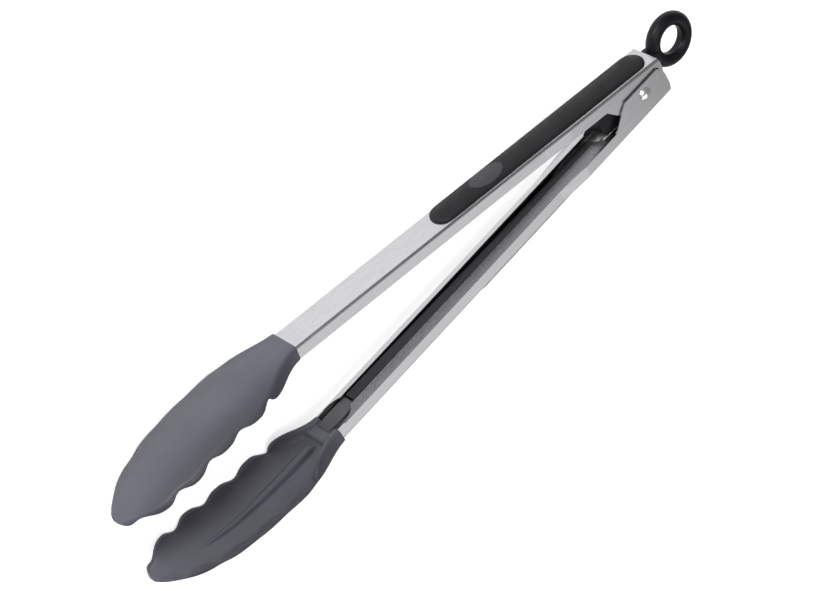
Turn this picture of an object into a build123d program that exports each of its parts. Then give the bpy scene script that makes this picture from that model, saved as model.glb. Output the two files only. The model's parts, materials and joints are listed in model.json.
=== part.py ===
from build123d import *
import os
from math import cos, degrees, radians, sin

# Spring loaded kitchen tongs lying on their side, in millimetres.
# Working frame: origin on the pivot, +X to the jaws, +Y to the outer arm, +Z along the pivot.
# Each arm is drawn alone, with its length along X and its web on +Y, then turned into place.

# Arms: bent steel channels, web outside, lips folded in along the open side
SHEET = 0.8                # steel thickness
CHANNEL_WIDTH = 15.4       # over the flanges
TAIL_WIDTH = 16.0          # over the inner arm's ears
CHANNEL_DEPTH = 6.4        # web outer face to fold
WEB_OFFSET = 10.5          # pivot axis to web outer face
TAIL_X = -13.5             # tail end of the web
COLLAR_X = 201.0           # where the steel enters the head
SOCKET_DEPTH = 7.5         # steel inside the head
OPEN_ANGLE = 5.23          # each arm to the middle line, as the spring leaves it
EAR_GAP = 0.3              # between the nested ears
BEND_RADIUS = 1.4          # outside of the bends
FLARE = (42.0, 58.0)       # where an arm narrows from its ears to its channel
LIP_WIDTH = 4.1
LIP_RISE = 1.5             # how far a lip's free edge stands past the fold
LIP_X = (27.0, 197.0)

# Pivot
RIVET_RADIUS = 2.0
RIVET_HEAD_RADIUS = 3.3
RIVET_HEAD_HEIGHT = 1.3
HOLE_CLEARANCE = 0.05
BUSH_RADIUS = 3.4
COIL_RADIUS = 4.7          # to the wire's centre
WIRE = 1.2
COIL_TURNS = 7
LEG_Z = 5.6                # end coils from the middle plane
OUTER_LEG = (24.5, 8.8, 0.8)    # where it ends in the outer arm: along, up, from the middle
INNER_LEG = (33.0, 6.8, 5.6)

# Grips
GRIP_X = (-9.4, 116.2)
GRIP_WIDTH = 13.2
GRIP_EDGE = 1.0            # height at the rim
GRIP_CROWN = 2.5           # height on the middle line
SPOT_X = 84.5
SPOT_RADII = (9.0, 5.2)
SPOT_DEPTH = 1.6

# Liner bar in each channel
LINER_X = (29.0, 186.4)
LINER_RIDGE = 2.6          # half width
LINER_CREST = (5.0, 3.0)   # the crest's place at its tail end and its head end
LINER_BASE = 1.3

# Heads
HEAD_LENGTH = 99.8         # along the arm
HEAD_HALF_WIDTH = 19.5
HEAD_ARCS = (380.0, 138.0) # radii of the long curve, first and second stretch
FIRST_ARC = 50.0           # length of the first stretch
HEAD_SAG = 4.6             # crosswise hollow
SKIN = 2.4                 # silicone blade thickness
CORE_SKIN = 0.9            # nylon plate inside the blade
SCALLOP = 1.7              # depth of the rim's waves at full width
SCALLOP_RADIUS = 15.0      # of the cut that makes one
SCALLOP_PITCH = 17.8
SCALLOP_FIRST = 16.0       # collar to the first bump
SHOULDER = 32.0            # collar to the full width
TIP_START = 64.5           # where the rounded tip begins
COLLAR_HALF_WIDTH = 8.4
BACK_WALL = 0.9            # silicone over the web
UNDER_WALL = 0.5           # silicone under the flanges
BRIDGE = 8.0               # closed part of the collar
LOBE_WALL = 2.1            # side walls running on from the collar
LOBE_X = (14.0, 22.0)      # their deepest point and their end, from the collar
LOBE_DROP = 1.7
RIB_END = 45.0             # thick root along the middle of the hollow
TANG_X = 186.8

# Lock slider and pull ring, riding under the inner arm's web
RING_RADIUS = 9.6
RING_TUBE = 3.3
RING_BORE = 6.6
RING_PLACE = (-26.8, 8.5)
SLIDER_X = (-9.0, 27.0)
SLIDER_HALF_WIDTH = 4.0
SLIDER_Y = (8.4, 9.4)
BLOCK_X = (15.0, 25.6)
BLOCK_Y = (-6.0, 3.2, 8.4)  # free face, shoulder, face on the slider
BLOCK_HALF_WIDTHS = (6.6, 4.2)
NECK = (-17.0, 7.4)        # where the ring's neck begins, and its underside

WEB_INNER = WEB_OFFSET - SHEET
FOLD_Y = WEB_OFFSET - CHANNEL_DEPTH
HALF = CHANNEL_WIDTH / 2
TAIL_HALF = TAIL_WIDTH / 2
EAR_HALF = TAIL_HALF + SHEET + EAR_GAP
ARM_END = COLLAR_X + SOCKET_DEPTH
HEAD_TOP = WEB_OFFSET + BACK_WALL


def slab(face, low, high):
    """Plan outline in X and Z, standing from y = low to y = high."""
    return Pos(0, high, 0) * extrude(Plane.XZ * face, high - low)


def bar(section, start, end):
    """Section in Y and Z, run along X."""
    return extrude(Plane.YZ.offset(start) * section, end - start)


def block(x, y, half_width):
    """Plain block between two x and two y values, centred on the middle plane."""
    centre = Pos((x[0] + x[1]) / 2, (y[0] + y[1]) / 2, 0)
    return centre * Box(x[1] - x[0], y[1] - y[0], 2 * half_width)


def polygon(*points):
    return make_face(Polyline(*points, close=True))


# ---------------------------------------------------------------- arms

def channel_plan(tail_half, inset, overrun):
    """Channel seen on its web: wide at the ears, CHANNEL_WIDTH beyond the flare."""
    wide, narrow = tail_half - inset, HALF - inset
    upper = [(TAIL_X - overrun, wide), (FLARE[0], wide), (FLARE[1], narrow), (ARM_END + overrun, narrow)]
    lower = [(x, -z) for x, z in reversed(upper)]
    return polygon(*upper, *lower)


def round_bends(solid, radius):
    """Round the two long bends between the web and the flanges."""
    web = solid.faces().sort_by(Axis.Y)[-1]
    bends = [edge for edge in web.edges() if abs(edge.tangent_at(0.5).Z) < 0.5]
    return fillet(bends, radius)


def ear_profile():
    """Side view of web, flanges and ears in one outline."""
    tail = ThreePointArc((TAIL_X + 1.2, WEB_OFFSET), (TAIL_X - 0.2, 4.6), (-12.1, -4.1))
    corner = RadiusArc(tail @ 1, (-10.6, -5.2), 2.0)
    front = Polyline(corner @ 1, (10.4, -5.2), (15.3, -1.6), (21.3, FOLD_Y), (ARM_END, FOLD_Y),
                     (ARM_END, WEB_OFFSET), tail @ 0)
    return make_face(tail + corner + front)


def lips(tail_half):
    """Two folded-in lips, cut short in a curve at the tail and tapering off at the head."""
    inner, edge = HALF - LIP_WIDTH, FOLD_Y - LIP_RISE
    lip = polygon((FOLD_Y + SHEET, EAR_HALF), (FOLD_Y, EAR_HALF), (FOLD_Y, HALF), (edge, inner),
                  (edge + SHEET, inner), (FOLD_Y + SHEET, HALF))
    pair = bar(lip, *LIP_X) + mirror(bar(lip, *LIP_X), about=Plane.XY)
    head_cut = slab(Pos(LIP_X[1], 0) * Ellipse(9.5, 7.0), 0, FOLD_Y + SHEET)
    tail_cut = slab(Pos(LIP_X[0] - 2, 0) * Circle(6.0), 0, FOLD_Y + SHEET)
    return (pair & slab(channel_plan(tail_half, 0, 0), 0, WEB_OFFSET)) - head_cut - tail_cut


def arm(tail_half):
    low = -2 * WEB_OFFSET
    outside = round_bends(slab(channel_plan(tail_half, 0, 0), low, WEB_OFFSET), BEND_RADIUS)
    inside = round_bends(slab(channel_plan(tail_half, SHEET, 5), low, WEB_INNER), BEND_RADIUS - SHEET)
    shell = (outside - inside) & extrude(ear_profile(), 2 * EAR_HALF, both=True)
    hole = Cylinder(RIVET_RADIUS + HOLE_CLEARANCE, 4 * EAR_HALF)
    return shell + lips(tail_half) - hole


# ---------------------------------------------------------------- grips

def grip_blank():
    half, crown, rim = GRIP_WIDTH / 2, WEB_OFFSET + GRIP_CROWN, WEB_OFFSET + GRIP_EDGE
    base = Polyline((rim, -half), (WEB_OFFSET, -half), (WEB_OFFSET, half), (rim, half))
    section = make_face(base + ThreePointArc((rim, half), (crown, 0), (rim, -half)))
    middle, length = sum(GRIP_X) / 2, GRIP_X[1] - GRIP_X[0]
    outline = Pos(middle, 0) * SlotOverall(length, GRIP_WIDTH)
    return bar(section, *GRIP_X) & slab(outline, WEB_OFFSET, crown)


def spot_prism():
    top = WEB_OFFSET + GRIP_CROWN
    return slab(Pos(SPOT_X, 0) * Ellipse(*SPOT_RADII), top - SPOT_DEPTH, top + 1)


def liner():
    """Bar clipped in the channel, with a ridge that climbs towards the head."""
    floor = WEB_INNER - LINER_BASE
    base = block(LINER_X, (floor, WEB_INNER), HALF - SHEET - BEND_RADIUS / 2)
    side = polygon((LINER_X[0], floor), (LINER_X[0], LINER_CREST[0]), (LINER_X[1], LINER_CREST[1]),
                   (LINER_X[1], floor))
    return base + extrude(side, LINER_RIDGE, both=True)


# ---------------------------------------------------------------- heads

def blade_half_width(s):
    """Half width of the blade at s from the collar: a shoulder, then an elliptical tip."""
    rise = min(s / SHOULDER, 1)
    body = COLLAR_HALF_WIDTH + (HEAD_HALF_WIDTH - COLLAR_HALF_WIDTH) * rise * rise * (3 - 2 * rise)
    tip = max(s - TIP_START, 0) / (HEAD_LENGTH - TIP_START)
    return body * (1 - tip * tip) ** 0.5


def blade_plan(inset):
    """Blade outline, drawn in by the inset."""
    even = list(range(0, int(TIP_START), 3))
    reach = HEAD_LENGTH - TIP_START
    tip = [TIP_START + reach * sin(radians(a)) for a in range(0, 80, 8)]
    upper = [(COLLAR_X + s, blade_half_width(s) - inset) for s in even + tip if s < HEAD_LENGTH - 2 * inset]
    edge = Spline(*upper, (COLLAR_X + HEAD_LENGTH - inset, 0), *[(x, -z) for x, z in reversed(upper)])
    return make_face(edge + Line(edge @ 1, edge @ 0))


def under_back(s, depth):
    """The point at a depth under the back's middle line, s from the collar."""
    first, second = HEAD_ARCS
    radius = first if s < FIRST_ARC else second
    joint = 0 if s < FIRST_ARC else FIRST_ARC / first
    turn = joint + (s - joint * first) / radius
    x = COLLAR_X + (first - radius) * sin(joint) + (radius - depth) * sin(turn)
    y = HEAD_TOP - first + (first - radius) * cos(joint) + (radius - depth) * cos(turn)
    return x, y


def waves():
    """Round cuts across the blade that leave the rim in waves."""
    cuts = []
    for i in range(5):
        s = SCALLOP_FIRST + SCALLOP_PITCH * (i + 0.5)
        share = blade_half_width(s) / HEAD_HALF_WIDTH
        edge = HEAD_SAG * share ** 2 + SKIN - SCALLOP * share
        cuts.append(Pos(*under_back(s, edge + SCALLOP_RADIUS)) * Cylinder(SCALLOP_RADIUS, 50))
    return cuts


def arc_about(x, y):
    return Axis((x, y, 0), (0, 0, -1))


def blade_shell(top, thickness, inset):
    """Plate hollow crosswise and curved lengthwise in two arcs, cut to the blade's plan."""
    half = HEAD_HALF_WIDTH + 2
    drop = HEAD_SAG * (half / HEAD_HALF_WIDTH) ** 2
    outer = ThreePointArc((top - drop, -half), (top, 0), (top - drop, half))
    under = top - thickness
    inner = ThreePointArc((under - drop, half), (under, 0), (under - drop, -half))
    section = Plane.YZ * make_face(outer + Line(outer @ 1, inner @ 0) + inner + Line(inner @ 1, outer @ 0))
    first, second = HEAD_ARCS
    turn = FIRST_ARC / first
    gap = first - second
    centre = Pos(COLLAR_X, HEAD_TOP - first, 0)
    near = revolve(Pos(COLLAR_X, 0, 0) * section, arc_about(COLLAR_X, HEAD_TOP - first), degrees(turn))
    bent = centre * Rot(0, 0, -degrees(turn)) * Pos(0, first - HEAD_TOP, 0) * section
    far = revolve(bent, arc_about(COLLAR_X + gap * sin(turn), HEAD_TOP - first + gap * cos(turn)), 30)
    return (near + far) & slab(blade_plan(inset), -60, HEAD_TOP + 5)


def collar():
    """Sleeve around the steel, rounded walls along both sides, and a thick root in the hollow."""
    low, deep, end = FOLD_Y - UNDER_WALL, COLLAR_X + LOBE_X[0], COLLAR_X + LOBE_X[1]
    bridge, rib = COLLAR_X + BRIDGE, COLLAR_X + RIB_END
    plan = slab(blade_plan(0), -20, 20)
    sleeve = plan & block((COLLAR_X, bridge), (low, HEAD_TOP - 1.2), HEAD_HALF_WIDTH)
    lobe = polygon((COLLAR_X, HEAD_TOP - 1.2), (COLLAR_X, low), (deep, low - LOBE_DROP),
                   (deep + 5, low - LOBE_DROP + 0.9), (end, low + 2.5), (end, 8.0))
    walls = (plan - slab(blade_plan(LOBE_WALL), -20, 20)) & extrude(lobe, HEAD_HALF_WIDTH, both=True)
    root = polygon((bridge - 1, 9.2), (bridge - 1, 5.8), (rib, 5.6), (rib, 7.4))
    taper = polygon((bridge - 1, 8), (rib, 1.5), (rib, -1.5), (bridge - 1, -8))
    return sleeve + walls + (extrude(root, 9, both=True) & slab(taper, 0, HEAD_TOP))


def head_core():
    """Nylon core: a tang that fills the channel's end, and the plate inside the blade."""
    low, top, half = FOLD_Y, WEB_INNER, HALF - SHEET
    tang = polygon((low, -3.9), (low, 3.9), (low + 2.6, half), (top - 0.8, half), (top, half - 0.8),
                   (top, 0.8 - half), (top - 0.8, -half), (low + 2.6, -half))
    plate = blade_shell(HEAD_TOP - (SKIN - CORE_SKIN) / 2, CORE_SKIN, 3.0)
    reach = block((ARM_END, COLLAR_X + 1.5 * HEAD_LENGTH), (-60, 60), 30)
    root = block((ARM_END, COLLAR_X + LOBE_X[1]), (WEB_INNER - 1.6, WEB_INNER + 0.2), 4.5)
    return bar(tang, TANG_X, ARM_END) + root + (plate & reach)


def jaw(core):
    """Silicone head moulded over the core, with a socket for the steel."""
    socket = block((COLLAR_X - 1, ARM_END), (FOLD_Y, WEB_OFFSET), HALF)
    return blade_shell(HEAD_TOP, SKIN, 0) - waves() + collar() - socket - core


# ---------------------------------------------------------------- pivot and spring

def pivot_rivet():
    shank = Cylinder(RIVET_RADIUS, 2 * EAR_HALF)
    ball = (RIVET_HEAD_RADIUS ** 2 + RIVET_HEAD_HEIGHT ** 2) / (2 * RIVET_HEAD_HEIGHT)
    dome = Pos(0, 0, EAR_HALF + RIVET_HEAD_HEIGHT - ball) * Sphere(ball)
    cap = dome & Pos(0, 0, EAR_HALF + RIVET_HEAD_HEIGHT / 2) * Cylinder(ball, RIVET_HEAD_HEIGHT)
    return shank + cap + mirror(cap, about=Plane.XY)


def spring_bush():
    length = TAIL_WIDTH - 2 * SHEET - 2 * EAR_GAP
    return Cylinder(BUSH_RADIUS, length) - Cylinder(RIVET_RADIUS, 2 * length)


def rod(start, end):
    along = Vector(*end) - Vector(*start)
    return extrude(Plane(origin=start, z_dir=along) * Circle(WIRE / 2), along.length)


def spring_leg(side, end):
    """Straight leg off an end coil, its tip turned inward; side is +1 for the outer arm."""
    turn = radians(OPEN_ANGLE)
    along, up, across = end
    tip_x = along * cos(turn) - up * sin(turn)
    tip_y = side * (along * sin(turn) + up * cos(turn))
    tip = (tip_x, tip_y, side * across)
    leg = rod((0, side * COIL_RADIUS, side * LEG_Z), tip)
    return leg + rod(tip, (tip_x, tip_y, side * (across - 1.6))) + Pos(*tip) * Sphere(WIRE / 2)


def torsion_spring():
    """Coils as closed rings round the bush, the first and last carrying a leg each."""
    pitch = 2 * LEG_Z / (COIL_TURNS - 1)
    coils = [Pos(0, 0, pitch * i - LEG_Z) * Torus(COIL_RADIUS, WIRE / 2) for i in range(COIL_TURNS)]
    coils[0] = coils[0] + spring_leg(-1, INNER_LEG)
    coils[-1] = coils[-1] + spring_leg(1, OUTER_LEG)
    return Compound([solid for coil in coils for solid in coil.solids()])


# ---------------------------------------------------------------- lock

def pull_ring():
    """Ring with a neck that slips under the web and a short cylindrical land in its bore."""
    place = Pos(*RING_PLACE, 0)
    neck = block((NECK[0], SLIDER_X[0]), (NECK[1], SLIDER_Y[1]), SLIDER_HALF_WIDTH)
    bore = Cylinder(RING_BORE, 4 * RING_TUBE)
    return place * Torus(RING_RADIUS, RING_TUBE) + neck - place * bore


def lock_slider():
    return block(SLIDER_X, SLIDER_Y, SLIDER_HALF_WIDTH)


def lock_block():
    """Block between the ears: a narrow stem on the slider and a wide rounded head."""
    face, shoulder, root = BLOCK_Y
    wide, narrow = BLOCK_HALF_WIDTHS
    head = block(BLOCK_X, (face, shoulder), wide)
    head = fillet(head.edges().filter_by(Axis.Z).group_by(Axis.Y)[0], 1.8)
    return head + block(BLOCK_X, (shoulder, root), narrow)


def outer_side(shape):
    return Rot(0, 0, OPEN_ANGLE) * shape


def inner_side(shape):
    return Rot(0, 0, -OPEN_ANGLE) * mirror(shape, about=Plane.XZ)


def build():
    grip, spot, core = grip_blank(), spot_prism(), head_core()
    shared = {"grip": grip - spot, "thumb_spot": grip & spot, "liner": liner(),
              "head_core": core, "jaw": jaw(core)}
    parts = {"outer_arm": outer_side(arm(EAR_HALF)), "inner_arm": inner_side(arm(TAIL_HALF))}
    for name, shape in shared.items():
        parts["outer_" + name] = outer_side(shape)
        parts["inner_" + name] = inner_side(shape)
    parts["pivot_rivet"] = pivot_rivet()
    parts["spring_bush"] = spring_bush()
    parts["torsion_spring"] = torsion_spring()
    parts["lock_slider"] = inner_side(lock_slider())
    parts["lock_block"] = inner_side(lock_block())
    parts["pull_ring"] = inner_side(pull_ring())
    return parts


parts = build()
whole = Compound([solid for shape in parts.values() for solid in shape.solids()]).bounding_box()
shift = Pos(-whole.center().X, -whole.center().Y, -whole.min.Z)
os.makedirs("parts", exist_ok=True)
for name, shape in parts.items():
    export_step(shift * shape, f"parts/{name}.step")
print("overall size", whole.size)
print("pivot at", shift.position)
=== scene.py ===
import json
from math import acos, atan2, cos, pi, radians, sin, sqrt

import bpy
from mathutils import Matrix, Vector


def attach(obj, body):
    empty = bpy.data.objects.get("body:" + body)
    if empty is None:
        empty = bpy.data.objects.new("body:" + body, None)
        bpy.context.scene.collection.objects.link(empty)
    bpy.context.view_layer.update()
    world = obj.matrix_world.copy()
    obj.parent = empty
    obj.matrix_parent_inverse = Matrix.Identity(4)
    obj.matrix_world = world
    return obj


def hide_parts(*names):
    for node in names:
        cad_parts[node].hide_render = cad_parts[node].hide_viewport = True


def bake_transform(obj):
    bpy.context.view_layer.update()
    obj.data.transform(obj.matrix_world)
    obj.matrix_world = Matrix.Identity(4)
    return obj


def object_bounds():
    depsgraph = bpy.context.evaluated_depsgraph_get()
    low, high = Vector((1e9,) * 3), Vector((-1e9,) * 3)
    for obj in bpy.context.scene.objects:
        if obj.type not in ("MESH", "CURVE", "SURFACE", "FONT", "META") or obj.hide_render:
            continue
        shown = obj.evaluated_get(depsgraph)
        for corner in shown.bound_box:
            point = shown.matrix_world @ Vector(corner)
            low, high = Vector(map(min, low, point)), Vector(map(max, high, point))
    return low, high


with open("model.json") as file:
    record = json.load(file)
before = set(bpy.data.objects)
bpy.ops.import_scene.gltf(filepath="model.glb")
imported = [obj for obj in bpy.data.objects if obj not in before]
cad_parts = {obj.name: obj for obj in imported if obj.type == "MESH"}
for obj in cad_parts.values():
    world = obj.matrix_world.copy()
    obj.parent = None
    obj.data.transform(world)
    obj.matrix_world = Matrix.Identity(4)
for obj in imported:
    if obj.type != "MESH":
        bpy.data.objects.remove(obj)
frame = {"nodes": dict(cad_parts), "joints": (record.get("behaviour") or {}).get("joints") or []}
cad_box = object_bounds()

MM = 0.001
SIDES = {"outer": 1, "inner": -1}    # which way along Y each arm's web faces

joints = {joint["name"]: joint for joint in frame["joints"]}
PIVOT = Vector(joints["jaw_pivot"]["pos_m"])
SLIDE = Vector(joints["lock_slide"]["axis"])
OPEN = atan2(SLIDE.y, -SLIDE.x)      # each arm to the middle line

# Head, in millimetres in the arm's own drawing: x along the arm from the pivot, y out to its web.
# s runs along the head's back from the collar's edge, z across it from the middle plane.
COLLAR_X = 201.0
HEAD_TOP = 11.4            # back of the head over the pivot line
HEAD_LENGTH = 103.0
HEAD_ARCS = (380.0, 138.0)  # radii of the back's long curve, first and second stretch
FIRST_ARC = 50.0           # length of the first stretch
HEAD_HALF_WIDTH = 19.5
HEAD_SAG = 4.6             # fall of the back from its middle to its edge, at full width
SHOULDER = 32.0            # s where the head reaches its full width
EDGE_ROUND = 3.0           # radius where the back turns down to the rim
RIM = 2.4                  # depth of the rim under the back's edge
RIM_EDGE = 0.3             # radius along the rim's free edge
WALL = 2.1                 # width of the rim
TIP_START = 66.0           # s where the sides turn in to the tip
TIP_BLUNT = 0.5            # half width that the tip's curve runs towards

# Collar round the channel's end, and the side walls that run on from it
COLLAR_HALF_WIDTH = 8.4
COLLAR_DEPTH = 7.8
COLLAR_SAG = 0.3           # fall of its back from the middle to the edge
COLLAR_FADE = 26.0         # s where the boxy collar has become the blade
COLLAR_TURN = 1.5          # radius of the collar's long edges
LOBE_DROP = 1.8            # how much deeper than the collar the side walls run
LOBE_GROWTH = 18.0         # length over which they gain it
LOBE_S = (13.0, 24.0)      # where the side walls start to fall away, and where they end
LOBE_WALL = 3.2            # thickness of the side walls
LOBE_EDGE = 1.4            # radius along the side walls' free edge
BRIDGE = 8.0               # length of the collar's closed part, under the channel
BRIDGE_STEP = 1.4          # length of the step at the bridge's end
BRIDGE_INSET = 1.2         # the bridge's face, back from the rim

# Waves in the rim
SCALLOP = 1.7              # depth
SCALLOP_PITCH = 17.8
SCALLOP_FIRST = 16.0       # s where the waves begin
SCALLOP_FADE_IN = 8.0      # length over which they grow to their depth
PLAN_WAVE = (0.25, 0.7)    # share of the depth that also narrows the head: sides, tip

# Floor of the scoop and the rib along it
ROOT_FLOOR = 4.6           # depth under the back, next to the bridge
FLOOR_FADE = 60.0          # length over which the floor thins out to the rim's depth
FLOOR_TURN_UP = (3.6, 9.0)  # power of the floor's curve up to the rim: blade, collar
RIB_HALF = (1.8, 0.5)      # half width at the start and at the end
RIB_HEIGHT = 1.7
RIB_GROOVE = 1.0           # depth of the grooves beside it
RIB_LENGTH = 66.0          # from the bridge's step on

# Mesh of the head
STATION_STEP = 0.7
TIP_STEPS = 39
TIP_STEP_ANGLE = 2.2
BACK_STEPS = 12
EDGE_STEPS = 8
FLOOR_STEPS = 14

# Nylon tang in the channel's end: a raised middle between two shoulders
TANG_X = (186.8, 204.0)
TANG_MIDDLE = 3.9          # half width
TANG_SHOULDER = 6.9        # half width
TANG_Y = (4.0, 6.6, 9.6)   # middle, shoulder, back
TANG_STEP = 0.6            # how far a shoulder falls away from the middle's foot
TANG_CENTRE = 7.2          # y that its rounded end draws in to
TANG_EDGE = 0.7            # radius of its long edges

# Grips and spring
WEB_OFFSET = 10.5          # pivot axis to the web's outer face
GRIP_X = (-9.4, 116.2)
GRIP_HALF = 6.6            # half width
GRIP_EDGE = 1.0            # height at the rim, before its rounding
GRIP_CROWN = 2.5           # height on the middle line
GRIP_ROUND = 0.8           # width of the rounding along the rim
GRIP_ROUND_DROP = 0.7      # how far the rounding falls at the rim
GRIP_STEPS = 90
SPOT_X = 84.5
SPOT_RADII = (9.0, 5.2)
COIL_RADIUS = 4.7          # to the wire's centre
WIRE_RADIUS = 0.6
SPRING_TURNS = 8.5
COIL_STEPS = 28            # points in one turn
LEG_STEPS = 12
LEG_Z = 5.6                # end coils from the middle plane
OUTER_LEG = (24.5, 8.8, 0.8)  # where a leg ends: along the arm, towards its web, off the middle
INNER_LEG = (33.0, 6.8, 5.6)

NOISE_SPAN = (0.3, 0.7)    # where most values of a noise texture lie

# Stage and camera, in metres and degrees
STAGE_HALF = 3.0           # half of the floor's side
CAMERA_AZIMUTH = 26.08
CAMERA_ELEVATION = 43.4
CAMERA_ROLL = 118.4
CAMERA_FROM_PIVOT = (0.5436, -0.8267, 0.8727)
LENS = 130.9               # in millimetres
SENSOR = 36.0              # in millimetres


# ---------------------------------------------------------------- helpers

def to_row(side, x, y, z):
    """A point of the arm's drawing, in mm, to the row's frame, in metres."""
    along = x * cos(OPEN) - y * sin(OPEN)
    out = side * (x * sin(OPEN) + y * cos(OPEN))
    return PIVOT + Vector((along, out, z)) * MM


def smooth(t):
    """Ease from 0 at t = 0 to 1 at t = 1, and stay there outside."""
    t = min(max(t, 0.0), 1.0)
    return t * t * (3 - 2 * t)


def mix(a, b, t):
    """The value at share t of the way from a to b."""
    return a + (b - a) * t


def add_mesh(name, points, faces, flip=False):
    """A smooth-shaded piece; flip turns its faces round."""
    mesh = bpy.data.meshes.new(name)
    if flip:
        faces = [tuple(reversed(face)) for face in faces]
    mesh.from_pydata([tuple(p) for p in points], [], faces)
    mesh.validate()
    mesh.shade_smooth()
    piece = bpy.data.objects.new(name, mesh)
    bpy.context.collection.objects.link(piece)
    return piece


def loft(name, loops, flip=False):
    """Closed skin over loops of equal length, capped at both ends."""
    count = len(loops[0])
    points = [p for loop in loops for p in loop]
    faces = []
    for i in range(len(loops) - 1):
        for j in range(count):
            k = (j + 1) % count
            faces.append((i * count + j, i * count + k, (i + 1) * count + k, (i + 1) * count + j))
    faces.append(tuple(range(count - 1, -1, -1)))
    faces.append(tuple(range((len(loops) - 1) * count, len(loops) * count)))
    return add_mesh(name, points, faces, flip)


def subdivide(piece):
    modifier = piece.modifiers.new("smooth", "SUBSURF")
    modifier.levels = 1
    modifier.render_levels = 1


def dress(piece, material):
    piece.data.materials.clear()
    piece.data.materials.append(material)


# ---------------------------------------------------------------- materials

class Shader:
    """A node material under construction, with object coordinates in metres."""

    def __init__(self, name):
        self.material = bpy.data.materials.new(name)
        self.material.use_nodes = True
        self.tree = self.material.node_tree
        self.surface = self.tree.nodes["Principled BSDF"]
        self.place = self.node("ShaderNodeTexCoord").outputs["Object"]

    def node(self, kind, **inputs):
        made = self.tree.nodes.new(kind)
        for key, value in inputs.items():
            made.inputs[key].default_value = value
        return made

    def link(self, a, b):
        self.tree.links.new(a, b)

    def put(self, socket, value):
        self.surface.inputs[socket].default_value = value

    def mapped(self, turn, scale):
        mapping = self.node("ShaderNodeMapping")
        mapping.inputs["Rotation"].default_value = turn
        mapping.inputs["Scale"].default_value = scale
        self.link(self.place, mapping.inputs["Vector"])
        return mapping.outputs["Vector"]

    def noise(self, scale, detail=3.0, place=None):
        made = self.node("ShaderNodeTexNoise", Scale=scale, Detail=detail)
        self.link(place or self.place, made.inputs["Vector"])
        return made.outputs["Fac"]

    def limits(self, made, before, after):
        """Set what range a map-range node reads and what range it gives."""
        for key, (low, high) in (("From", before), ("To", after)):
            made.inputs[key + " Min"].default_value = low
            made.inputs[key + " Max"].default_value = high

    def spread(self, noise, low, high):
        """Map a noise's usual values to low..high."""
        made = self.node("ShaderNodeMapRange")
        self.limits(made, NOISE_SPAN, (low, high))
        self.link(noise, made.inputs["Value"])
        return made.outputs["Result"]

    def ramp(self, noise, low, high):
        """Colour a noise from low to high."""
        made = self.tree.nodes.new("ShaderNodeValToRGB")
        ends = made.color_ramp.elements
        for end, position, colour in zip(ends, NOISE_SPAN, (low, high)):
            end.position = position
            end.color = (*colour, 1)
        self.link(noise, made.inputs["Fac"])
        return made.outputs["Color"]

    def painted_rim_shade(self, colour, near, far, least):
        """Painted shade: darken a colour with its distance from the middle plane, from near to far,
        down to least.
        """
        split = self.node("ShaderNodeSeparateXYZ")
        self.link(self.place, split.inputs["Vector"])
        lift = self.node("ShaderNodeMath")
        lift.operation = "SUBTRACT"
        self.link(split.outputs["Z"], lift.inputs[0])
        lift.inputs[1].default_value = PIVOT.z
        size = self.node("ShaderNodeMath")
        size.operation = "ABSOLUTE"
        self.link(lift.outputs[0], size.inputs[0])
        share = self.node("ShaderNodeMapRange")
        share.interpolation_type = "SMOOTHSTEP"
        self.limits(share, (near, far), (1.0, least))
        self.link(size.outputs[0], share.inputs["Value"])
        scale = self.node("ShaderNodeVectorMath")
        scale.operation = "SCALE"
        self.link(colour, scale.inputs[0])
        self.link(share.outputs["Result"], scale.inputs["Scale"])
        return scale.outputs["Vector"]

    def bump(self, height, strength, distance, under=None):
        made = self.node("ShaderNodeBump", Strength=strength, Distance=distance)
        self.link(height, made.inputs["Height"])
        if under:
            self.link(under, made.inputs["Normal"])
        self.link(made.outputs["Normal"], self.surface.inputs["Normal"])
        return made.outputs["Normal"]


def steel(name, turn):
    """Satin steel, brushed along the arm."""
    s = Shader(name)
    s.put("Metallic", 1.0)
    grain = s.noise(1.0, 4.0, s.mapped((0, 0, -turn), (60, 5000, 5000)))
    streaks = s.noise(1.0, 2.0, s.mapped((0, 0, -turn), (9, 1400, 1400)))
    smudges = s.noise(22.0, 2.0)
    colour = s.ramp(streaks, (0.435, 0.435, 0.446), (0.475, 0.475, 0.487))
    s.link(colour, s.surface.inputs["Base Color"])
    rough = s.node("ShaderNodeMath")
    s.link(s.spread(grain, 0.22, 0.28), rough.inputs[0])
    s.link(s.spread(smudges, 0.0, 0.03), rough.inputs[1])
    s.link(rough.outputs[0], s.surface.inputs["Roughness"])
    s.bump(grain, 0.12, 0.00001)
    return s.material


def bright_steel(name, low, high):
    s = Shader(name)
    s.put("Metallic", 1.0)
    s.link(s.ramp(s.noise(800), (low, low, low), (high, high, high)), s.surface.inputs["Base Color"])
    s.link(s.spread(s.noise(1500), 0.18, 0.32), s.surface.inputs["Roughness"])
    s.bump(s.noise(4000), 0.2, 0.00002)
    return s.material


def silicone():
    """Matt silicone with a fine moulded skin, and painted shade that darkens it towards the rims."""
    s = Shader("silicone")
    s.put("Specular IOR Level", 0.25)
    cloud = s.noise(60, 4.0)
    skin = s.ramp(cloud, (0.072, 0.073, 0.090), (0.081, 0.082, 0.101))
    # painted shade: the skin is darkened towards the rims as drawn shading; the silicone itself is one
    # colour
    shaded = s.painted_rim_shade(skin, near=0.003, far=0.018, least=0.58)
    s.link(shaded, s.surface.inputs["Base Color"])
    s.link(s.spread(s.noise(220), 0.38, 0.46), s.surface.inputs["Roughness"])
    fine = s.bump(s.noise(5200, 2.0), 0.12, 0.00003)
    s.bump(s.noise(900, 3.0), 0.08, 0.0001, fine)
    return s.material


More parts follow.
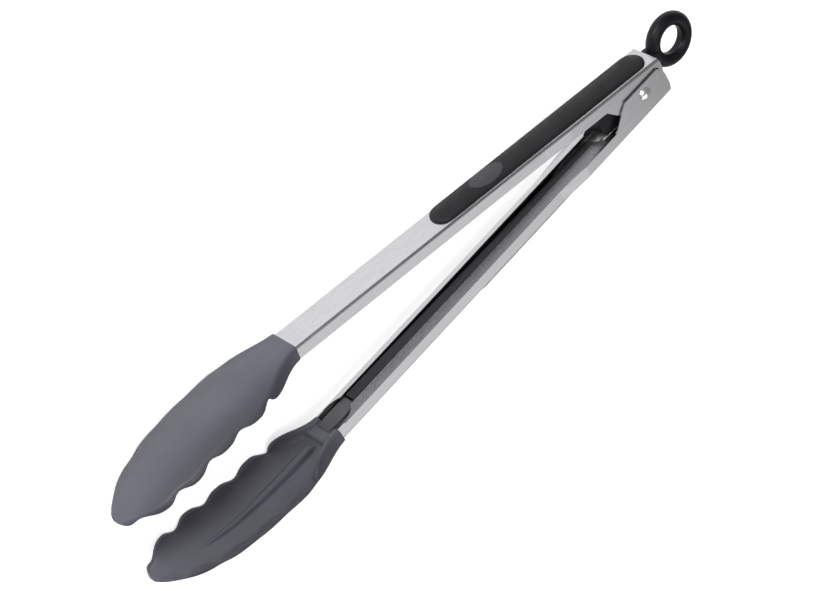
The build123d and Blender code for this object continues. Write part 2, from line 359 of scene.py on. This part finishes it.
def rubber(name, low, high):
    s = Shader(name)
    s.put("Specular IOR Level", 0.22)
    s.link(s.ramp(s.noise(150), low, high), s.surface.inputs["Base Color"])
    s.link(s.spread(s.noise(300), 0.50, 0.66), s.surface.inputs["Roughness"])
    fine = s.bump(s.noise(3600, 2.0), 0.25, 0.00005)
    s.bump(s.noise(700, 2.0), 0.08, 0.0001, fine)
    return s.material


def plastic(name, low, high, rough, gloss):
    s = Shader(name)
    s.put("Specular IOR Level", gloss)
    s.link(s.ramp(s.noise(120), low, high), s.surface.inputs["Base Color"])
    s.link(s.spread(s.noise(400), rough - 0.05, rough + 0.06), s.surface.inputs["Roughness"])
    s.bump(s.noise(2600, 2.0), 0.15, 0.00004)
    return s.material


def ribbed_plastic(name, turn):
    """Black plastic drawn with fine lines along the arm."""
    s = Shader(name)
    s.put("Specular IOR Level", 0.25)
    lines = s.noise(1.0, 1.0, s.mapped((0, 0, -turn), (2, 1300, 1300)))
    colour = s.ramp(lines, (0.003, 0.003, 0.005), (0.010, 0.010, 0.014))
    s.link(colour, s.surface.inputs["Base Color"])
    s.link(s.spread(s.noise(400), 0.26, 0.38), s.surface.inputs["Roughness"])
    s.bump(lines, 0.5, 0.0002)
    return s.material


# ---------------------------------------------------------------- heads

def scallop(s):
    """How far the wavy rim falls short at s: broad bumps with sharper valleys between them."""
    wave = abs(sin(pi * (s - SCALLOP_FIRST) / SCALLOP_PITCH)) ** 3
    return SCALLOP * wave * smooth((s - SCALLOP_FIRST) / SCALLOP_FADE_IN)


def head_stations():
    """Stations along the head as (s, half width): even spacing, then closer round the tip."""
    shoulder = HEAD_HALF_WIDTH - COLLAR_HALF_WIDTH
    stations = []
    for i in range(int(TIP_START / STATION_STEP) + 1):
        s = STATION_STEP * i
        width = COLLAR_HALF_WIDTH + shoulder * smooth(s / SHOULDER)
        stations.append((s, width - PLAN_WAVE[0] * scallop(s)))
    reach = HEAD_LENGTH - TIP_START
    for i in range(1, TIP_STEPS + 1):
        turn = radians(TIP_STEP_ANGLE * i)
        s = TIP_START + reach * sin(turn)
        width = mix(TIP_BLUNT, HEAD_HALF_WIDTH, cos(turn))
        wave = mix(PLAN_WAVE[1], PLAN_WAVE[0], smooth(1 - i / 6))
        stations.append((s, width - wave * scallop(s) * cos(turn) ** 0.5))
    return stations


def quarter_round(points, z, depth, radius, start):
    """Add a quarter round about (z, depth); start 0 turns the outer corner, 90 the inner one."""
    for i in range(5):
        turn = radians(start + 22.5 * i)
        points.append((z + radius * cos(turn), depth + radius * sin(turn)))


def head_section(s, width):
    """Half section at s from the back's middle to the floor's, as points (z, depth)."""
    box = 1 - smooth(s / COLLAR_FADE)
    sag = mix(HEAD_SAG * (width / HEAD_HALF_WIDTH) ** 2, COLLAR_SAG, box)
    lobe = lobe_share(s)
    collar_depth = COLLAR_DEPTH + LOBE_DROP * smooth(s / LOBE_GROWTH)
    rim_depth = mix(sag + RIM - scallop(s), collar_depth, lobe)
    inner = max(width - mix(WALL, LOBE_WALL, lobe), 0.35 * width)
    radius = min(mix(RIM_EDGE, LOBE_EDGE, lobe), 0.48 * (width - inner))
    low = rim_depth - radius
    turn = min(mix(EDGE_ROUND, COLLAR_TURN, box), 0.4 * width)
    points = head_back(width, sag, turn, low)
    brow_z, brow_depth = points[-1]
    inner = min(inner, brow_z - 2 * radius)
    for i in range(1, 4):
        points.append((brow_z, mix(brow_depth, max(low, brow_depth), i / 4)))
    low = max(low, brow_depth)
    quarter_round(points, brow_z - radius, low, radius, 0)
    quarter_round(points, inner + radius, low, radius, 90)
    return points + hollow(s, inner, low, radius)


def head_back(width, sag, turn, low):
    """The back from its middle out, and its edge turning down by the radius, at most to low."""
    slope = atan2(2 * sag, width)
    flat = width - turn * (1 - sin(slope))
    drop = sag * (flat / width) ** 2
    middle_z, middle_depth = width - turn, drop + turn * cos(slope)
    last = pi / 2 - slope
    if low < middle_depth:
        last = max(acos(min((middle_depth - low) / turn, 1.0)) - slope, 0.0)
    reaches = [flat * i / BACK_STEPS for i in range(BACK_STEPS)]
    points = [(z, sag * (z / width) ** 2) for z in reaches]
    for i in range(EDGE_STEPS + 1):
        angle = slope + last * i / EDGE_STEPS
        points.append((middle_z + turn * sin(angle), middle_depth - turn * cos(angle)))
    return points


def hollow(s, inner, low, radius):
    """The scoop's face from the rim's inner side to the rib's middle, as points (z, depth)."""
    floor = floor_depth(s, low + radius)
    steep = mix(*FLOOR_TURN_UP, 1 - smooth((s - 6) / FLOOR_FADE))
    half, height, groove = rib(s)
    half *= min(0.5 * inner / half, 1.0)
    spans = [(0.0, height), (0.7, height), (0.95, height * 0.85), (1.05, -groove * 0.8),
             (1.25, -groove), (1.5, -groove * 0.8), (1.7, 0.0)]
    spans = [(half * share, rise) for share, rise in spans]
    start = spans[-1][0]
    shares = [1 - (1 - i / FLOOR_STEPS) ** 1.6 for i in range(1, FLOOR_STEPS)]
    spans += [(mix(start, inner, share), 0.0) for share in shares]
    return [(z, mix(floor, low, (z / inner) ** steep) + rise) for z, rise in reversed(spans)]


def lobe_share(s):
    """How much of the rim at s is still the collar's side wall: 1, then round down to 0."""
    start, end = LOBE_S
    return sqrt(max(0.0, 1 - (max(s - start, 0) / (end - start)) ** 2)) if s < end else 0.0


def floor_depth(s, rim_depth):
    """The scoop's floor: closed under the collar's bridge, then a step, then it thins out."""
    open_floor = mix(ROOT_FLOOR, RIM, smooth((s - BRIDGE) / FLOOR_FADE))
    return mix(rim_depth - BRIDGE_INSET, open_floor, smooth((s - BRIDGE) / BRIDGE_STEP))


def rib(s):
    """The rib along the floor at s: half width, height, and depth of the grooves beside it."""
    run = (s - BRIDGE - BRIDGE_STEP) / RIB_LENGTH
    if run <= 0 or run >= 1:
        return 1.2, 0.0, 0.0
    rise = smooth(run * 14) * (1 - run) ** 0.6
    return mix(*RIB_HALF, run), RIB_HEIGHT * rise, RIB_GROOVE * rise


def centre_line(s):
    """The back's middle line at s: x, y and the angle it has turned through."""
    first, second = HEAD_ARCS
    if s < FIRST_ARC:
        turn = s / first
        return COLLAR_X + first * sin(turn), HEAD_TOP - first * (1 - cos(turn)), turn
    joint = FIRST_ARC / first
    turn = joint + (s - FIRST_ARC) / second
    x = COLLAR_X + first * sin(joint) + second * (sin(turn) - sin(joint))
    y = HEAD_TOP - first * (1 - cos(joint)) - second * (cos(joint) - cos(turn))
    return x, y, turn


def place_section(side, s, half, inset=0.0):
    """Mirror a half section to a full loop, draw it in by the inset and bend it into place."""
    x, y, turn = centre_line(s)
    middle = half[0][1] / 2 + half[-1][1] / 2
    full = half + [(-z, depth) for z, depth in reversed(half[1:-1])]
    loop = []
    for z, depth in full:
        reach = max(sqrt(z * z + (depth - middle) ** 2), 0.001)
        keep = 1 - inset / reach if reach > inset else 0.0
        z, depth = z * keep, middle + (depth - middle) * keep
        loop.append(to_row(side, x - depth * sin(turn), y - depth * cos(turn), z))
    return loop


def jaw(name, side):
    """Silicone head, lofted from its collar to its tip."""
    stations = head_stations()
    first = head_section(*stations[0])
    rounding = ((0.0, 0.9), (0.0, 0.45), (0.1, 0.15))
    loops = [place_section(side, s, first, inset) for s, inset in rounding]
    for s, width in stations[1:]:
        loops.append(place_section(side, s, head_section(s, width)))
    last_s, last_width = stations[-1]
    last = head_section(last_s, last_width)
    loops.append(place_section(side, last_s + 0.25, last, 0.5))
    piece = loft(name + "_silicone_head", loops, flip=side > 0)
    subdivide(piece)
    return piece


def rounded(corners, radius, steps=4):
    """Closed outline along the corners, each one rounded."""
    outline = []
    for i, corner in enumerate(corners):
        before, after = Vector(corners[i - 1]), Vector(corners[(i + 1) % len(corners)])
        here = Vector(corner)
        start = here + (before - here).normalized() * radius
        end = here + (after - here).normalized() * radius
        for j in range(steps + 1):
            f = j / steps
            outline.append(start.lerp(here, f).lerp(here.lerp(end, f), f))  # quadratic curve
    return outline


def tang(name, side):
    """Grey nylon end of the head's core, lying in the channel."""
    low, step, top = TANG_Y
    foot = step - TANG_STEP
    right = [(TANG_MIDDLE, low), (TANG_MIDDLE, foot), (TANG_SHOULDER, step), (TANG_SHOULDER, top)]
    left = [(-z, y) for z, y in reversed(right)]
    section = rounded(left + right, TANG_EDGE)
    centre = Vector((0.0, TANG_CENTRE))
    start, end = TANG_X
    loops = []
    rounding = ((0.0, 0.75), (0.1, 0.4), (0.3, 0.15), (0.7, 0.0), (end - start, 0.0))
    for run, inset in rounding:
        loop = []
        for point in section:
            out = point - centre
            z, y = centre + out * (1 - inset / out.length)
            loop.append(to_row(side, start + run, y, z))
        loops.append(loop)
    return loft(name + "_core_tang", loops, flip=side < 0)


# ---------------------------------------------------------------- grips

def grip_height(x, z):
    """Height of the grip over the web: crowned, with a rounded edge."""
    near = min(max(x, GRIP_X[0] + GRIP_HALF), GRIP_X[1] - GRIP_HALF)
    out = min(sqrt((x - near) ** 2 + z * z) / GRIP_HALF, 1.0)
    edge = GRIP_ROUND / GRIP_HALF
    lost = max(0.0, (out - 1 + edge) / edge)
    crown = GRIP_EDGE + (GRIP_CROWN - GRIP_EDGE) * (1 - out * out)
    return crown - GRIP_ROUND_DROP * (1 - sqrt(1 - lost * lost))


def grip_stations():
    """Stations along the grip as (x, half width), close together round its ends."""
    turns = [radians(5 * i) for i in range(1, 18)]
    start = [(GRIP_X[0] + GRIP_HALF * (1 - cos(t)), GRIP_HALF * sin(t)) for t in turns]
    low, high = GRIP_X[0] + GRIP_HALF, GRIP_X[1] - GRIP_HALF
    middle = [(mix(low, high, i / GRIP_STEPS), GRIP_HALF) for i in range(GRIP_STEPS + 1)]
    end = [(GRIP_X[1] - GRIP_HALF * (1 - cos(t)), GRIP_HALF * sin(t)) for t in reversed(turns)]
    return start + middle + end


def grip(name, side):
    loops = []
    for x, half in grip_stations():
        spread = [sin(pi / 2 * (i / 11 - 1)) for i in range(23)]
        section = [(half * f, WEB_OFFSET + grip_height(x, half * f)) for f in spread]
        base = [(half, WEB_OFFSET + 0.1), (half * 0.9, WEB_OFFSET - 0.05),
                (-half * 0.9, WEB_OFFSET - 0.05), (-half, WEB_OFFSET + 0.1)]
        loops.append([to_row(side, x, y, z) for z, y in section + base])
    return loft(name + "_grip_pad", loops, flip=side > 0)


def thumb_spot(name, side):
    """Oval inlay, a hair proud of the grip, with a rounded edge."""
    profile = [(1.0, -0.9), (1.0, -0.1), (0.994, 0.02), (0.98, 0.09), (0.95, 0.12)]
    profile += [(0.95 - 0.1 * i, 0.12) for i in range(1, 10)]
    loops = []
    for size, lift in profile:
        loop = []
        for i in range(72):
            turn = 2 * pi * i / 72
            x, z = SPOT_X + SPOT_RADII[0] * size * cos(turn), SPOT_RADII[1] * size * sin(turn)
            loop.append(to_row(side, x, WEB_OFFSET + grip_height(x, z) + lift, z))
        loops.append(loop)
    return loft(name + "_spot_inlay", loops, flip=side > 0)


# ---------------------------------------------------------------- spring

def leg_end(side, end):
    """End of a spring leg, in millimetres from the pivot."""
    x, y, z = end
    return Vector((x * cos(OPEN) - y * sin(OPEN), side * (x * sin(OPEN) + y * cos(OPEN)), side * z))


def spring_path():
    """Middle of the wire from its end in the inner arm, round the bush, to that in the outer."""
    inner, outer = leg_end(-1, INNER_LEG), leg_end(1, OUTER_LEG)
    count = int(SPRING_TURNS * COIL_STEPS)
    coil = []
    for i in range(count + 1):
        angle = -pi / 2 - 2 * pi * SPRING_TURNS * i / count
        z = mix(-LEG_Z, LEG_Z, i / count)
        coil.append(Vector((COIL_RADIUS * cos(angle), COIL_RADIUS * sin(angle), z)))
    inner_tip = [(0, 0, 1.6), (0, 0, 1.0), (-0.35, 0.1, 0.35), (-1.2, 0.3, 0.0)]
    outer_tip = [(-1.2, -0.2, 0.0), (-0.35, -0.1, -0.35), (0, 0, -1.0), (0, 0, -1.6)]
    inner_leg = [inner + Vector(step) for step in inner_tip]
    inner_leg += [inner.lerp(coil[0], i / LEG_STEPS) for i in range(1, LEG_STEPS)]
    outer_leg = [coil[-1].lerp(outer, i / LEG_STEPS) for i in range(1, LEG_STEPS)]
    outer_leg += [outer + Vector(step) for step in outer_tip]
    return inner_leg + coil + outer_leg


def tube(name, path, radius, sides=12):
    """Round wire along a path given in millimetres from the pivot."""
    loops = []
    across = Vector((0, 0, 1))
    for i, point in enumerate(path):
        before, after = path[max(i - 1, 0)], path[min(i + 1, len(path) - 1)]
        along = (after - before).normalized()
        across = (across - along * across.dot(along)).normalized()
        if across.length < 0.5:
            across = along.orthogonal().normalized()
        other = along.cross(across)
        ring = [point + (across * cos(2 * pi * j / sides) + other * sin(2 * pi * j / sides)) * radius
                for j in range(sides)]
        loops.append([PIVOT + p * MM for p in ring])
    return loft(name, loops)


# ---------------------------------------------------------------- stage

def make_floor():
    low, high = cad_box
    middle = (Vector(low) + Vector(high)) / 2
    square = ((-1, -1), (1, -1), (1, 1), (-1, 1))
    corners = [(middle.x + a * STAGE_HALF, middle.y + b * STAGE_HALF, low[2]) for a, b in square]
    floor = add_mesh("floor", corners, [(0, 1, 2, 3)])
    s = Shader("floor_paper")
    s.link(s.ramp(s.noise(6), (0.93, 0.93, 0.93), (0.95, 0.95, 0.95)), s.surface.inputs["Base Color"])
    s.put("Emission Color", (1, 1, 1, 1))
    s.put("Emission Strength", 0.50)
    s.put("Roughness", 0.9)
    s.put("Specular IOR Level", 0.1)
    dress(floor, s.material)


def area_light(name, place, target, size, power):
    data = bpy.data.lights.new(name, "AREA")
    data.shape = "RECTANGLE"
    data.size, data.size_y = size
    data.energy = power
    light = bpy.data.objects.new(name, data)
    bpy.context.collection.objects.link(light)
    light.location = place
    light.rotation_euler = (Vector(target) - Vector(place)).to_track_quat("-Z", "Y").to_euler()


def make_lights():
    world = bpy.data.worlds.new("studio")
    bpy.context.scene.world = world
    world.use_nodes = True
    background = world.node_tree.nodes["Background"]
    background.inputs["Color"].default_value = (1, 1, 1, 1)
    background.inputs["Strength"].default_value = 0.25
    area_light("key", place=(0.45, -1.25, 0.50), target=(0.05, 0, 0), size=(0.8, 0.5), power=15)
    area_light("top", place=(0.25, -0.50, 1.50), target=(0.05, 0, 0), size=(0.8, 0.8), power=11)
    area_light("back", place=(-0.12, 0.95, 1.0), target=(0, 0, 0), size=(1.2, 1.2), power=4.5)


def make_camera():
    """Camera from azimuth, elevation and roll about the viewing line."""
    azimuth, elevation, roll = (radians(a) for a in (CAMERA_AZIMUTH, CAMERA_ELEVATION, CAMERA_ROLL))
    back = Vector((sin(azimuth) * cos(elevation), -cos(azimuth) * cos(elevation), sin(elevation)))
    level = Vector((cos(azimuth), sin(azimuth), 0))
    up = back.cross(level)
    right = level * cos(roll) + up * sin(roll)
    up = back.cross(right)
    place = PIVOT + Vector(CAMERA_FROM_PIVOT)
    data = bpy.data.cameras.new("camera")
    data.sensor_width = SENSOR
    data.lens = LENS
    data.clip_end = 20
    camera = bpy.data.objects.new("camera", data)
    camera.matrix_world = Matrix((
        (right.x, up.x, back.x, place.x),
        (right.y, up.y, back.y, place.y),
        (right.z, up.z, back.z, place.z),
        (0, 0, 0, 1)))
    bpy.context.collection.objects.link(camera)
    bpy.context.scene.camera = camera


# ---------------------------------------------------------------- assembly

def soften(node, width, limit=40):
    """Round a node's edges that are sharper than the limit, in degrees."""
    modifier = node.modifiers.new("soften", "BEVEL")
    modifier.width = width * MM
    modifier.segments = 3
    modifier.limit_method = "ANGLE"
    modifier.angle_limit = radians(limit)
    modifier.harden_normals = True


def assemble():
    steels = {"outer": steel("outer_steel", OPEN), "inner": steel("inner_steel", -OPEN)}
    silicone_skin = silicone()
    pad = rubber("grip_rubber", (0.005, 0.005, 0.006), (0.009, 0.009, 0.011))
    spot = rubber("spot_rubber", (0.032, 0.033, 0.038), (0.042, 0.043, 0.049))
    black = plastic("black_plastic", (0.004, 0.004, 0.006), (0.007, 0.007, 0.010), 0.38, 0.16)
    nylon = plastic("grey_nylon", (0.050, 0.051, 0.054), (0.064, 0.065, 0.068), 0.45, 0.4)
    wire = bright_steel("spring_steel", 0.42, 0.58)
    nodes = frame["nodes"]
    pieces = (
        (jaw, "jaw", "silicone", silicone_skin),
        (grip, "grip", "grip_rubber", pad),
        (thumb_spot, "thumb_spot", "spot_rubber", spot),
        (tang, "head_core", "grey_nylon", nylon))
    for name, side in SIDES.items():
        dress(nodes[name + "_arm"], steels[name])
        dress(nodes[name + "_liner"], ribbed_plastic(name + "_liner_plastic", side * OPEN))
        soften(nodes[name + "_arm"], 0.22, 25)
        soften(nodes[name + "_liner"], 0.4)
        for make, node, slot, material in pieces:
            piece = make(name, side)
            dress(piece, material)
            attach(piece, name + "_side")
            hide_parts(name + "_" + node)
    spring = tube("wire_spring", spring_path(), WIRE_RADIUS)
    dress(spring, wire)
    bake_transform(spring)
    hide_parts("torsion_spring")
    dress(nodes["pivot_rivet"], bright_steel("rivet_steel", 0.78, 0.90))
    dress(nodes["spring_bush"], black)
    dress(nodes["lock_slider"], steels["inner"])
    dress(nodes["lock_block"], black)
    dress(nodes["pull_ring"], black)
    soften(nodes["lock_block"], 0.5)


make_floor()
make_lights()
make_camera()
assemble()

bpy.context.scene.view_settings.view_transform = "Standard"
